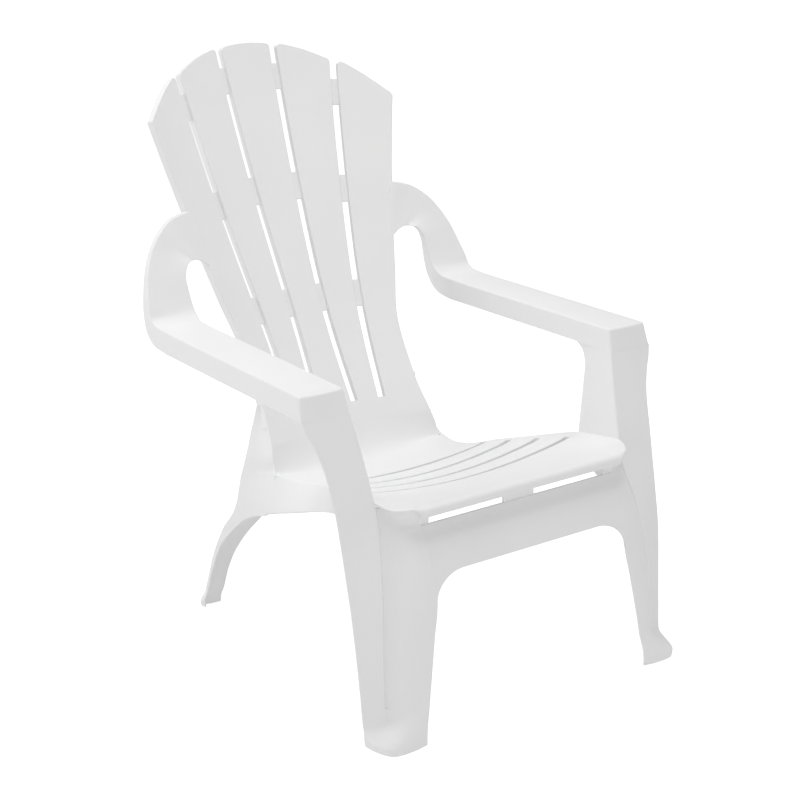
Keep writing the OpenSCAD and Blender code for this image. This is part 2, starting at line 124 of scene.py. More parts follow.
# Looks: noise and pebble scales are per metre, and the bump height is in metres
TONES = ((0.865, 0.868, 0.866, 1), (0.890, 0.891, 0.888, 1))
ROUGHNESS = (0.40, 0.50)
DRIFT_SCALE, FLOW_SCALE, GRAIN_SCALE, PEBBLE_SCALE = 5, 38, 1500, 900
BUMP_STRENGTH = 0.12
BUMP_HEIGHT = 0.0002
FLOOR_TONES = ((0.50, 0.50, 0.50, 1), (0.52, 0.52, 0.52, 1))
FLOOR_HALF = 40
FLOOR_GLOW, FLOOR_GLOW_SEEN = 0.35, 0.83
WORLD_LIGHT, WORLD_SEEN = 0.60, 1.05
# Lamps: where each stands, in metres, and its watts
LAMPS = {"overhead": ((0, 0.3, 4), 68), "side": ((-3.5, 2.2, 1.4), 42),
         "fill": ((-1.2, -4.3, 1.2), 25)}
LAMP_SIZE = 3.0
LAMP_TARGET = (0, 0, 0.5)
CAMERA_AT = (-1.7155, -2.2662 - DATUM_BACK * MM, 1.3811)
CAMERA_AZIMUTH, CAMERA_ELEVATION = radians(-36.079), radians(18.386)
CAMERA_LENS = 81


# ---- Smooth curves through a few values ----
def table(*points):
    """A function that reads a smooth curve through [where, value] points, level beyond its ends."""
    def slope(i):
        a, b = points[max(i - 1, 0)], points[min(i + 1, len(points) - 1)]
        return (b[1] - a[1]) / (b[0] - a[0])

    def read(k):
        k = min(max(k, points[0][0]), points[-1][0])
        i = 0
        while i < len(points) - 2 and k >= points[i + 1][0]:
            i += 1
        (k0, v0), (k1, v1) = points[i], points[i + 1]
        w = k1 - k0
        u = (k - k0) / w
        return (v0 * (2 * u**3 - 3 * u**2 + 1) + v1 * (3 * u**2 - 2 * u**3)
                + slope(i) * w * (u**3 - 2 * u**2 + u) + slope(i + 1) * w * (u**3 - u**2))
    return read


seat_line = table([-250, SEAT_FRONT_H + 3], [-225, SEAT_FRONT_H - 2], [-150, 343], [-90, 327],
                  [20, 301], [76, 290], [140, 279], [BEND_Y, BEND_Z])
seat_edge = table([-250, 204], [-240, 217], [-226, 233], [-212, 243.5], [-198, 248],
                  [-182, 249], [-92, 250], [-30, 222], [20, 200], [76, 182], [110, 174],
                  [150, 172], [BEND_Y, 180])
seat_hollow = table([-250, 0], [-222, 0.02], [-190, 0.24], [-130, 0.4], [-87, 0.47], [-10, 0.56],
                    [50, 0.56], [90, 0.38], [120, 0.27], [160, 0.25], [BEND_Y, 0.4])
back_edge = table([BACK_FOOT_Z, 172], [353, 167], [384, 164], [480, 165], [563, 185], [711, 218],
                  [871, 253.5], [970, 275])
inner_slot = table([340, 38], [505, 35], [736, 46], [970, 57.5])
outer_slot = table([340, 91], [505, 104], [736, 137], [970, 170])
stem_y = table([0, -246], [114, -235], [210, -224], [271, -212], [331, -199], [381, -187],
               [455, -164], [508, -147], [545, ARM_FRONT_Y])
apron_y = table([0, -297], [71, -292], [168, -282], [240, -273], [280, -262], [310, -248],
                [APRON_TOP_Z, -233], [CHEEK_TOP_Z, -234])
leg_outer = table([0, 311], [46, 312], [114, 314], [210, 318], [331, 321], [381, 323], [432, 328],
                  [466, 337], [490, 347], [508, 352])
leg_crease = table([0, 280], [71, 276], [168, 272], [260, 262], [340, 248], [381, 250],
                   [455, 257], [508, 264], [545, 268])
leg_lean = table([0, 16], [240, 16], [331, 2], [350, 0])
panel_rear = table([0, -236], [71, -229], [114, -222], [168, -208], [210, -190], [270, -146],
                   [318, -93], [345, -91], [455, -90], [480, -87], [498, -76], [508, -60])
cheek_inner = table([0, 228], [71, 219], [168, 203], [ARCH_SIDE_Z, CHEEK_X],
                    [APRON_TOP_Z - 1, CHEEK_X], [APRON_TOP_Z, CHEEK_X], [338, 179],
                    [345, 179], [CHEEK_TOP_Z, 179])
skirt_low_z = table([-92, 319], [-34, 301], [98, 252], [165, 228], [SKIRT_END_Y, 215])
skirt_low_x = table([-92, 250], [-34, 232], [40, 212], [98, 204], [165, 203], [SKIRT_END_Y, 206])
rear_y = table([176, 303], [200, 293], [222, 290], [262, 291], [310, 291], [345, 288])

# Rear leg from top to foot: front edge x, y, z, then rear edge x, y, z, then inner half width
REAR_LEG_ROWS = [
    [161, 268, 380, 173, 278, 386, 130], [164, 253, 357, 180, 284, 355, 130],
    [165, 249, 351, 182, 285, 346, 130], [170.5, 232, 328, 186, 287, 320, 130],
    [176, 219, 301, 191, 290, 293, 130], [177, 212, 284, 196, 294, 268, 130],
    [178, 198, 282, 199, 298, 248, 130], [191, 198, 252, 202, 298, 232, 130],
    [206, 198, 215, 205, 297, 216, 130], [209, 222, 205, 209, 299, 200, 130],
    [211, 243, 196, 211, 302, 190, 130], [214, 268, 180, 214, 310, 176, 130],
    [218, 294, 156, 218, 325, 156, 139], [223, 317, 130, 223, 336, 130, 160],
    [227, 328, 110, 227, 342, 110, 174], [232, 334, 88, 232, 346, 88, 187],
    [238, 339, FOOT_H, 238, 348, FOOT_H, 199],
]
# Arm bend from the arm to the back: inner edge, outer edge, skirt depth, share that points down
BEND_ROWS = [
    [258, 280, 545, 339, 280, 545, 37, 1], [257, 308, 547, 339, 315, 547, 35, 0.9],
    [255, 328, 558, 339, 331, 554, 29, 0.65], [255, 342, 578, 337, 342, 573, 22, 0.35],
    [255, 353, 602, 331, 355, 598, 17, 0.15], [249, 363, 622, 322, 368, 626, 14, 0],
    [238, 371, 631, 306, 382, 656, 12, 0], [224, 378, 632, 283, 394, 683, 11, 0],
    [210, 378, 627, 252, 406, 703, 10, 0], [198, 377.5, 618, 217, 411, 711, 9, 0],
    [193, 378.9, 616, 212, 413.6, 709, 8, 0],
]
# Foot outlines on the floor: x, y, and the heights between which the leg spreads to them
FRONT_SPREAD = [[228, -298, 60, 4], [250, -302, 60, 6], [274, -303, 58, 8], [288, -301, 50, 8],
                [298, -294, 44, 10], [304, -283, 42, 10], [309, -266, 38, 12], [311, -244, 36, 12]]
REAR_SPREAD = [[252, 340, 26, 8], [256, 348, 26, 8], [252, 356, 26, 8], [232, 351, 26, 8],
               [214, 350, 26, 8]]
# How far the rear leg leans outward and backward per mm of height
REAR_LEAN = np.array([0.227, 0.091, 0])
# Corner radii along the rows of the cheek, the front leg, the front foot and the rear leg
CHEEK_RADII = [0, 60, 60, 12, 12, 0]
LEG_RADII = [0, 200, 3.5, 200, 0]
FOOT_RADII = [0, 60, 60, 8, 20, 8, 60, 0]
REAR_RADII = [0, 200, 5, 200, 0]
# Bridges: lower and upper height in the outer slots, then in the inner slots
BRIDGE_ROWS = {
    "upper_bridges": (850, 896, 884, 929),
    "middle_bridges": (682, 729, 694, 741),
    "lower_bridges": (505, 550, 505, 551),
}


def mix(a, b, u):
    return a * (1 - u) + b * u


def steps(a, b, n):
    """n + 1 values from a to b."""
    return [mix(a, b, i / n) for i in range(n + 1)]


def ease(u):
    """0 up to u = 0, 1 from u = 1, with a soft step between."""
    u = min(max(u, 0), 1)
    return u * u * (3 - 2 * u)


def point(*xyz):
    return np.array(xyz, float)


def unit(v):
    return v / max(np.linalg.norm(v), 1e-9)


def dense(rows, n):
    """The same rows with n steps between each pair, smooth and with no overshoot."""
    rows = np.array(rows, float)
    d = np.diff(rows, axis=0)
    same = (d[:-1] * d[1:]) > 0
    inner = np.where(same, 2 * d[:-1] * d[1:] / np.where(same, d[:-1] + d[1:], 1), 0)
    m = np.vstack([d[:1], inner, d[-1:]])
    out = []
    for i in range(len(d)):
        for s in range(n):
            u = s / n
            out.append(rows[i] * (2 * u**3 - 3 * u**2 + 1) + rows[i + 1] * (3 * u**2 - 2 * u**3)
                       + m[i] * (u**3 - 2 * u**2 + u) + m[i + 1] * (u**3 - u**2))
    return out + [rows[-1]]


# ---- The seat and back surface ----
def seat_pt(x, y):
    return point(x, y, seat_line(y) + seat_hollow(y) / 1000 * x * x)


def back_mid(z):
    return LEAN_Y + LEAN * (z - LEAN_Z) - LEAN_CURVE * (z - LEAN_Z)**2


def back_pt(x, z):
    return point(x, back_mid(z) - BACK_HOLLOW * x * x, z)


def back_normal(x, z):
    return unit(point(2 * BACK_HOLLOW * x, 1, -(LEAN - 2 * LEAN_CURVE * (z - LEAN_Z))))


def bend_pt(x, u):
    """The curve from the seat (u = 0) into the back (u = 1)."""
    a, c, d = point(BEND_Y, BEND_Z), point(*BEND_PULL), point(back_mid(BACK_FOOT_Z), BACK_FOOT_Z)
    b1, b2 = mix(a, c, BEND_WEIGHT), mix(d, c, BEND_WEIGHT)
    y, z = a * (1 - u)**3 + b1 * 3 * u * (1 - u)**2 + b2 * 3 * u**2 * (1 - u) + d * u**3
    return point(x, y - BACK_HOLLOW * u * x * x, z + seat_hollow(BEND_Y) / 1000 * (1 - u) * x * x)


# ---- Walls: a closed solid between an outer and an inner surface ----
def rounded(points, radii, cuts):
    """A line through points with round corners, always with the same number of points."""
    n = len(points)
    out = [points[0]]
    last = points[0]
    for j in range(1, n - 1):
        u, v = points[j - 1] - points[j], points[j + 1] - points[j]
        lu, lv = np.linalg.norm(u), np.linalg.norm(v)
        u, v = u / lu, v / lv
        half_turn = (pi - np.arccos(np.clip(u @ v, -1, 1))) / 2
        reach = min(max(radii[j] * np.tan(half_turn), 0.25), 0.46 * lu, 0.46 * lv)
        a, c, w = points[j] + reach * u, points[j] + reach * v, cos(half_turn)
        out += [mix(last, a, s) for s in steps(0, 1, cuts[j - 1])[1:]]
        for t in steps(0, 1, ARC_STEPS)[1:]:
            k0, k1, k2 = (1 - t)**2, 2 * w * t * (1 - t), t * t
            out.append((k0 * a + k1 * points[j] + k2 * c) / (k0 + k1 + k2))
        last = c
    return out + [mix(last, points[-1], s) for s in steps(0, 1, cuts[-1])[1:]]


def offset_rows(rows, wall, level):
    """The rows moved through the wall, square to the surface or, if level, sideways only."""
    g = np.array(rows)
    along = np.gradient(g, axis=0)
    n = np.cross(along[:, :-1], np.diff(g, axis=1))
    n /= np.maximum(np.linalg.norm(n, axis=2, keepdims=True), 1e-9)
    a, b = n[:, :-1], n[:, 1:]
    middle = (a + b) / np.maximum(1 + (a * b).sum(2, keepdims=True), 0.35)
    n = np.concatenate([n[:, :1], middle, n[:, -1:]], axis=1)
    if level:
        n[:, :, 2] = 0
        n /= np.maximum(np.linalg.norm(n, axis=2, keepdims=True), 1e-9)
    return g + wall * n


def round_rows(rows, other, radii, cuts, wall):
    """The rows with their corners rounded, looser where the wall is on the outside of the bend."""
    out = []
    for p, q in zip(rows, other):
        r = list(radii)
        if wall:
            for j in range(1, len(p) - 1):
                away = (p[j - 1] + p[j + 1] - 2 * p[j]) @ (q[j] - p[j]) > 0
                r[j] = radii[j] + wall if away else max(radii[j] - wall, 0.4)
        out.append(rounded(p, r, cuts))
    return np.array(out)


def grid_quads(n, m):
    return [(i * m + j, (i + 1) * m + j, (i + 1) * m + j + 1, i * m + j + 1)
            for i in range(n - 1) for j in range(m - 1)]


def border_edges(quads):
    """Edges of only one quad, each with that quad."""
    seen = {}
    for q in quads:
        for a, b in zip(q, q[1:] + q[:1]):
            seen.setdefault((min(a, b), max(a, b)), []).append((a, b, q))
    return [found[0] for found in seen.values() if len(found) == 1]


def edge_chains(outer, inner, quads, border, seam):
    """For each border vertex, its points from the outer to the inner surface, round if free."""
    through = np.array([unit(v) for v in inner - outer])
    outward, seams, near = {}, {}, {}
    for a, b, q in border:
        if seam(outer[a], outer[b]):
            seams.setdefault(a, []).append(b)
            seams.setdefault(b, []).append(a)
            continue
        along = unit(outer[b] - outer[a])
        w = (outer[a] + outer[b]) / 2 - outer[list(q)].mean(0)
        w = w - along * (w @ along)
        d = unit(through[a] + through[b])
        w = unit(w - d * (w @ d))
        for v in (a, b):
            outward.setdefault(v, []).append(w)
    rim = {v for a, b, _ in border for v in (a, b)}
    for q in quads:
        for a, b in zip(q, q[1:] + q[:1]):
            for v, w in ((a, b), (b, a)):
                if v in rim and w not in rim:
                    near.setdefault(v, []).append(w)
    chains = {}
    for v in rim:
        if v not in outward:
            chains[v] = [outer[v], inner[v]]
            continue
        free = outward[v]
        o = unit(sum(free))
        if v in seams and len(free) == 1:
            o = unit(outer[v] - outer[seams[v][0]])
            if o @ free[0] < 0.3:
                o = free[0]
        o = o / max(o @ free[0], 0.5)
        d, t = through[v], np.linalg.norm(inner[v] - outer[v])
        room = [abs((outer[v] - outer[w]) @ unit(o)) for w in near.get(v, [])]
        r = min([EDGE_R, 0.42 * t] + [0.8 * x for x in room])
        a0, b0 = outer[v] - r * o, inner[v] - r * o
        angles = steps(0, pi / 2, EDGE_STEPS)[1:]
        chains[v] = ([a0] + [a0 + r * (d * (1 - cos(x)) + o * sin(x)) for x in angles]
                     + [b0 + r * (d * (cos(x) - 1) + o * sin(x)) for x in reversed(angles)] + [b0])
    return chains


def wall_mesh(outer, inner, quads, seam):
    """Vertices and faces of the closed wall; seam(a, b) marks edges that join another piece."""
    outer, inner = np.array(outer, float), np.array(inner, float)
    border = border_edges(quads)
    chains = edge_chains(outer, inner, quads, border, seam)
    verts, place = [], {}
    for v in range(len(outer)):
        chain = chains.get(v, [outer[v], inner[v]])
        place[v] = list(range(len(verts), len(verts) + len(chain)))
        verts += chain
    faces = [tuple(place[v][0] for v in q) for q in quads]
    faces += [tuple(place[v][-1] for v in reversed(q)) for q in quads]
    for a, b, _ in border:
        ca, cb = place[a], place[b]
        if len(ca) == len(cb) and not seam(outer[a], outer[b]):
            faces += [(ca[k + 1], cb[k + 1], cb[k], ca[k]) for k in range(len(ca) - 1)]
        else:
            faces.append(tuple(ca[::-1] + cb))
    return verts, faces


def no_seams(a, b):
    return False


def sheet(rows, wall=WALL, radii=None, cuts=None, level=False, seam=no_seams, last_wall=1):
    """A wall from rows of control points; radii round the corners along each row."""
    rows = np.array(rows, float)
    other = offset_rows(rows, wall, level)
    other[:, -1] = mix(rows[:, -1], other[:, -1], last_wall)
    if radii is not None:
        rows, other = (round_rows(rows, other, radii, cuts, 0),
                       round_rows(other, rows, radii, cuts, WALL))
    n, m = rows.shape[:2]
    return wall_mesh(rows.reshape(-1, 3), other.reshape(-1, 3), grid_quads(n, m), seam)


def joined(*parts):
    verts, faces = [], []
    for v, f in parts:
        faces += [tuple(i + len(verts) for i in face) for face in f]
        verts += list(v)
    return verts, faces


def mirrored(part):
    verts, faces = part
    return [v * point(-1, 1, 1) for v in verts], faces


def add_piece(name, part, material):
    """A smooth-shaded object that stands for the CAD node of the same name."""
    verts, faces = part
    mesh = bpy.data.meshes.new(name)
    mesh.from_pydata([tuple((v + point(0, -DATUM_BACK, 0)) * MM) for v in verts], [], faces)
    bm = bmesh.new()
    bm.from_mesh(mesh)
    bmesh.ops.delete(bm, geom=[v for v in bm.verts if not v.link_faces], context="VERTS")
    bmesh.ops.remove_doubles(bm, verts=bm.verts, dist=0.01 * MM)
    bmesh.ops.dissolve_degenerate(bm, edges=bm.edges, dist=0.005 * MM)
    bmesh.ops.recalc_face_normals(bm, faces=bm.faces)
    if bm.calc_volume(signed=True) < 0:
        bmesh.ops.reverse_faces(bm, faces=bm.faces)
    bm.to_mesh(mesh)
    bm.free()
    mesh.shade_smooth()
    mesh.set_sharp_from_angle(angle=radians(CREASE_ANGLE))
    mesh.materials.append(material)
    piece = bpy.data.objects.new("shell_" + name, mesh)
    bpy.context.scene.collection.objects.link(piece)
    even = piece.modifiers.new("even shading", "WEIGHTED_NORMAL")
    even.keep_sharp = True
    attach(piece, "root")
    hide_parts(name)
    return piece


# ---- Back ----
def slat_edges(k, z):
    """Left and right edge of slat k at height z: 0 is the middle slat and 2 the outermost."""
    half = SLAT_GAP / 2
    left = (-inner_slot(z), inner_slot(z), outer_slot(z))[k] + half
    right = (inner_slot(z) - half, outer_slot(z) - half, back_edge(z))[k]
    return left, right


def slat_top(x):
    return OVERALL_H - TOP_ARC_R + sqrt(TOP_ARC_R**2 - x * x)


def slat_rows(k, inside):
    """Rows of a slat's front surface, or of its rear surface the given depth inside."""
    cols = 10
    tops = []
    for u in steps(0, 1, cols):
        x = 100 * k
        for _ in range(5):
            x = mix(*slat_edges(k, slat_top(x)), u)
        tops.append(slat_top(x))
    spots = [(v, SLAT_CORNER, 0) for v in [0, 0.004] + steps(0.015, 1, 66)]
    for a in (radians(25), radians(50), radians(90)):
        spots.append((1, SLAT_CORNER * (1 - sin(a)), SLAT_CORNER * (1 - cos(a))))
    rows = []
    corners = {1: RIM_RADIUS - inside, cols + 1: RIM_RADIUS - inside}
    for v, drop, inset in spots:
        row, behind = [], []
        for u, top in zip(steps(0, 1, cols), tops):
            z = mix(SLOT_FLOOR, top - drop - inside, v)
            left, right = slat_edges(k, z)
            x = mix(left + inset + inside, right - inset - inside, u)
            row.append(back_pt(x, z) + inside * back_normal(x, z))
            behind.append(back_pt(x, z) + SLAT_RIM * back_normal(x, z))
        rows.append(soften([behind[0]] + row + [behind[-1]], corners))
    return rows + top_rim(rows[-1], behind)


def top_rim(edge, behind):
    """Rows that turn a slat's top edge back as deep as its side rims."""
    rim, middle = np.array(behind), edge[len(edge) // 2]
    away = unit(behind[len(behind) // 2] - middle)
    deepest = max((p - middle) @ away for p in behind)
    rows = []
    for share in [0.03, 0.1] + steps(0.2, 1, 4):
        row = []
        for p in edge:
            gaps = np.linalg.norm(rim - p, axis=1)
            own = float(np.clip(1 - np.min(gaps) / deepest, 0, 1))
            move = max(0, share - own) / max(1 - own, 1e-6) * (rim[np.argmin(gaps)] - p)
            row.append(p + move if own < 1 else p)
        rows.append(row)
    return rows


def slat(k):
    """Slat k as a closed wall; grid points that fall together at its corners become one."""
    front, rear = np.array(slat_rows(k, 0)), np.array(slat_rows(k, WALL))
    n, m = front.shape[:2]
    front, rear = front.reshape(-1, 3), rear.reshape(-1, 3)
    seen = {}
    first = [seen.setdefault(tuple(np.round(np.r_[p, q], 4)), v)
             for v, (p, q) in enumerate(zip(front, rear))]
    rings = [tuple(dict.fromkeys(first[v] for v in q)) for q in grid_quads(n, m)]
    quads = [ring for ring in rings if len(ring) > 2]
    return wall_mesh(front, rear, quads,
                     lambda a, b: max(a[2], b[2]) < SLOT_FLOOR + NEAR)


def soften(line, corner_radii):
    """A line of points with only the corners named made round."""
    out = [line[0]]
    for j in range(1, len(line) - 1):
        if j in corner_radii:
            r = max(corner_radii[j], 0.4)
            out += rounded([line[j - 1], line[j], line[j + 1]], [0, r, 0], [1, 1])[1:-1]
        else:
            out.append(line[j])
    return out + [line[-1]]


def sheet_some_corners(rows, corner_radii, seam):
    """As sheet(), with round corners only at the control points named; the rest are smooth."""
    rows = np.array(rows, float)
    other = offset_rows(rows, WALL, False)

    def shaped(p_rows, q_rows, thick):
        out = []
        for p, q in zip(p_rows, q_rows):
            radii = dict(corner_radii)
            for j in radii:
                away = (p[j - 1] + p[j + 1] - 2 * p[j]) @ (q[j] - p[j]) > 0
                radii[j] += thick if away else -thick
            out.append(soften(p, radii))
        return np.array(out)
    outer, inner = shaped(rows, other, 0), shaped(other, rows, WALL)
    n, m = outer.shape[:2]
    return wall_mesh(outer.reshape(-1, 3), inner.reshape(-1, 3), grid_quads(n, m), seam)


def bridge(edge, z0, z1):
    half = SLAT_GAP / 2 + BRIDGE_BITE
    rows = []
    for z in steps(z0, z1, 10):
        x = edge(z)
        rows.append([back_pt(x + d, z) + BRIDGE_INSET * back_normal(x + d, z)
                     for d in steps(-half, half, 4)])
    return sheet(rows, seam=lambda a, b: abs(a[0] - b[0]) < 1.5 and abs(a[2] - b[2]) > 2)


def bridges(row):
    right = joined(bridge(outer_slot, row[0], row[1]), bridge(inner_slot, row[2], row[3]))
    return joined(right, mirrored(right))


def lumbar_panel():
    cols = 40
    rows = []
    foot, top = seat_edge(BEND_Y), back_edge(BACK_FOOT_Z)
    for u in [0, 0.015] + steps(0.05, 1, 30):
        e = mix(foot, top, u) + LUMBAR_BULGE * u * (1 - u)**3
        rows.append([bend_pt(x, u) for x in steps(-e, e, cols)])
    for z in steps(BACK_FOOT_Z, SLOT_FLOOR, 8)[1:]:
        e = back_edge(z)
        rows.append([back_pt(x, z) for x in steps(-e, e, cols)])
    rows.insert(-1, [mix(a, b, 0.6) for a, b in zip(rows[-2], rows[-1])])
    return sheet(rows, seam=lambda a, b: abs(a[0] - b[0]) > 3)


# ---- Seat ----
def slot_y(n):
    return FIRST_SLOT_Y - n * SEAT_SLOT_PITCH


def strip_w(y):
    """Width of the seat's rim beside the slots."""
    return max(6, 13 - 0.11 * (y - 20))


def plank_rows(ys, inset):
    rows = []
    for y in ys:
        e = seat_edge(y) - inset * strip_w(y)
        rows.append([seat_pt(x, y) for x in steps(-e, e, 60)])
    return rows


def crowned(rows, y0, y1, margin=0):
    """Plank rows with their edges rolled down toward the slots at y0 and y1."""
    out = []
    for row in rows:
        near = min(row[0][1] - y0, y1 - row[0][1])
        side = row[-1][0] - margin
        out.append([p - point(0, 0, PLANK_DROP * (1 - ease(near / PLANK_ROLL))
                              * ease((side - abs(p[0])) / PLANK_FADE)) for p in row])
    return out


def seat_slat(y0, y1):
    def side(a, b):
        return abs(a[1] - b[1]) > 1 or (y1 == BEND_Y and min(a[1], b[1]) > BEND_Y - NEAR)
    rear = y1 + PLANK_ROLL if y1 == BEND_Y else y1
    return sheet(crowned(plank_rows(steps(y0, y1, 30), 1), y0, rear), seam=side)


def seat_nose():
    y_rear = slot_y(3) - SEAT_SLOT / 2
    rows = []

    def toward_end(x, end):
        return ease(NOSE_END_BAND * (1 - abs(x) / end))
    for a in steps(pi / 2, 0, 8):
        e = seat_edge(NOSE_Y) - NOSE_CORNER * (1 - a / (pi / 2))
        rows.append([seat_pt(x, NOSE_Y) - NOSE_R * (0.2 + 0.8 * toward_end(x, e))
                     * point(0, sin(a), 1 - cos(a)) for x in steps(-e, e, 60)])
    hem = NOSE_LIP - NOSE_R
    end = rows[0][-1][0]
    lip = [[p - point(0, 0, 0.2 + share * hem * toward_end(p[0], end)) for p in rows[0]]
           for share in (1, 0.5)]
    flat = crowned(plank_rows(steps(NOSE_Y, y_rear, 60)[1:], 0), NOSE_Y - PLANK_ROLL, y_rear,
                   strip_w(y_rear))

    def beside_strip(a, b):
        inner_edge = seat_edge(max(a[1], b[1])) - strip_w(max(a[1], b[1]))
        return min(a[1], b[1]) > y_rear - NEAR and min(abs(a[0]), abs(b[0])) > inner_edge
    return sheet(lip + rows[:-1] + [plank_rows([NOSE_Y], 0)[0]] + flat, seam=beside_strip)


def seat_side():
    y_front = slot_y(3) - SEAT_SLOT / 2
    rows = []
    for y in steps(y_front, SKIRT_END_Y, 60):
        e = seat_edge(y)
        rim = seat_pt(e, y)
        hem = point(skirt_low_x(y), y, skirt_low_z(y))
        rows.append([seat_pt(e - strip_w(y), y), rim]
                    + [mix(rim, hem, u) for u in (0.25, 0.5, 0.75, 1)])

    def seam(a, b):
        at_end = max(a[1], b[1]) < y_front + NEAR or min(a[1], b[1]) > SKIRT_END_Y - NEAR
        return at_end or abs(a[0] - (seat_edge(a[1]) - strip_w(a[1]))) < NEAR
    return sheet_some_corners(rows, {1: 3.5}, seam=seam)


# ---- Front apron ----
def arch_z(x):
    if abs(x) <= ARCH_X:
        return ARCH_Z
    across = (abs(x) - ARCH_X) / (CHEEK_X - ARCH_X)
    return ARCH_Z - (ARCH_Z - ARCH_SIDE_Z) * (1 - sqrt(max(0, 1 - across**2)))


def front_apron():
    turn = [ARCH_X + (CHEEK_X - ARCH_X) * sin(a) for a in steps(0, pi / 2, 14)]
    half = steps(0, ARCH_X, 14)[:-1] + turn
    xs = [-x for x in reversed(half)] + half[1:]
    columns = [[point(x, apron_y(z), z) for z in steps(arch_z(x), APRON_TOP_Z, 24)] for x in xs]
    return sheet(columns, -WALL, level=True,
                 seam=lambda a, b: min(abs(a[0]), abs(b[0])) > CHEEK_X - NEAR)


def apron_web():
    """Plate behind the apron's top edge that carries the seat's front, with two long slots."""
    half = (steps(0, WEB_POST, 4) + steps(WEB_POST, WEB_SLOT_END, 20)[1:]
            + [187, CHEEK_X, WEB_X])
    xs = [-x for x in reversed(half)] + half[1:]
    slot_high = WEB_SLOT_LOW + WEB_SLOT_H

    def column(x):
        top = seat_pt(x, WEB_Y)[2] - WALL
        return (steps(WEB_LOW_Z, WEB_SLOT_LOW, 2) + steps(WEB_SLOT_LOW, slot_high, 3)[1:]
                + steps(slot_high, top, 2)[1:])
    front = [point(x, WEB_Y - WALL / 2, z) for x in xs for z in column(x)]
    back = [p + point(0, WALL, 0) for p in front]
    m = len(column(0))
    quads = []
    for quad in grid_quads(len(xs), m):
        x, z = np.mean([front[k][0] for k in quad]), np.mean([front[k][2] for k in quad])
        in_slot = WEB_POST < abs(x) < WEB_SLOT_END and WEB_SLOT_LOW < z < slot_high
        if not in_slot:
            quads.append(quad)
    return wall_mesh(front, back, quads, no_seams)


def groove_y(z):
    """Depth of the leg's face beside the groove, which leans forward from its outer edge."""
    return stem_y(z) - leg_lean(z)


def cheek_row(z):
    xi, xg, yf, yg = cheek_inner(z), leg_crease(z), apron_y(z), groove_y(z)
    xe, ye = xg - GROOVE_W, max(yf + 4, yg - GROOVE_SIDE)
    return [point(xi, yf, z), point(mix(xi, xe, 0.4), mix(yf, ye, 0.12), z),
            point(mix(xi, xe, 0.78), mix(yf, ye, 0.5), z), point(xe, ye, z),
            point(xe + 8, mix(ye, yg, 0.72), z), point(xg + GROOVE_TUCK, yg + GROOVE_DEPTH, z)]


def apron_cheek():
    rows = [cheek_row(z)
            for z in steps(FOOT_H, APRON_TOP_Z, 70) + [338] + steps(345, CHEEK_TOP_Z, 4)]

    def seam(a, b):
        low, high = min(a[2], b[2]), max(a[2], b[2])
        in_groove = all(abs(p[0] - GROOVE_TUCK - leg_crease(p[2])) < NEAR for p in (a, b))
        beside_apron = all(abs(p[0] - CHEEK_X) < 0.6 for p in (a, b)) and low > ARCH_SIDE_Z - 3
        return high < FOOT_H + NEAR or in_groove or beside_apron
    return sheet(rows, level=True, radii=CHEEK_RADII, cuts=[3, 3, 2, 2, 2], seam=seam)


# ---- Front legs ----
def leg_row(z):
    xc, xo, ys, yg, yp = leg_crease(z), leg_outer(z), stem_y(z), groove_y(z), panel_rear(z)
    return [point(xc, yp, z), point(xc, mix(yp, yg, 0.5), z), point(xc, yg, z),
            point(mix(xc, xo, 0.5), mix(yg, ys, 0.5) - 1.5, z), point(xo, ys, z)]


def front_leg():
    rows = [leg_row(z) for z in steps(FOOT_H, SKIRT_Z, 110)]

    def seam(a, b):
        low, high = min(a[2], b[2]), max(a[2], b[2])
        at_skirt = 316 < low and high < 350 and abs(a[1] - panel_rear(a[2])) < NEAR
        return high < FOOT_H + NEAR or low > SKIRT_Z - NEAR or at_skirt
    return sheet(rows, level=True, radii=LEG_RADII, cuts=[6, 6, 4, 4], seam=seam,
                 last_wall=0.35)


def foot_row(spread, leg, z, tuck):
    """Leg's line at one height, moved to where the foot spreads to; its lower edge tucks in."""
    row = []
    centre = np.mean([p[:2] for p in spread], axis=0)
    for j, ((x, y, start, end), p) in enumerate(zip(spread, leg)):
        low = point(x, y)
        low = low + tuck * j / len(leg) * max(0, 1 - z / 14)**2 * unit(centre - low)
        row.append(point(*mix(low, p[:2], ease((z - end) / (start - end))), z))
    return row


def front_foot():
    rows = []
    for z in steps(0, FOOT_H, 30):
        rows.append(foot_row(FRONT_SPREAD, cheek_row(z)[:5] + leg_row(z)[2:], z, 3))
    return sheet(rows, level=True, radii=FOOT_RADII, cuts=[3, 3, 2, 2, 2, 3, 3],
                 seam=lambda a, b: min(a[2], b[2]) > FOOT_H - NEAR)


# ---- Rear legs ----
def plate_y(x, y, z):
    """Depth of the rear plate, kept just behind the back's own wall where the two run close."""
    if z <= PLATE_BENDS_Z:
        return y
    return max(y, back_mid(z) - BACK_HOLLOW * x * x + PLATE_GAP)


def rear_row(r):
    front, rear = point(*r[:3]), point(*r[3:6])
    plate = [point(x, plate_y(x, r[4], r[5]), r[5]) for x in (mix(r[3], r[6], 0.5), r[6])]
    return [front, mix(front, rear, 0.5), rear] + plate


def rear_leg():
    rows = [rear_row(r) for r in dense(REAR_LEG_ROWS, 6)]

    def seam(a, b):
        low, high = min(a[2], b[2]), max(a[2], b[2])
        inside = all(abs(p[0] - REAR_APRON_HALF) < NEAR for p in (a, b))
        along_seat = low > 214 and max(a[1], b[1]) < 290 and a[0] > 160 and b[0] > 160
        return high < FOOT_H + NEAR or inside or along_seat
    return sheet(rows, -WALL, level=True, radii=REAR_RADII, cuts=[3, 3, 5, 5], seam=seam)


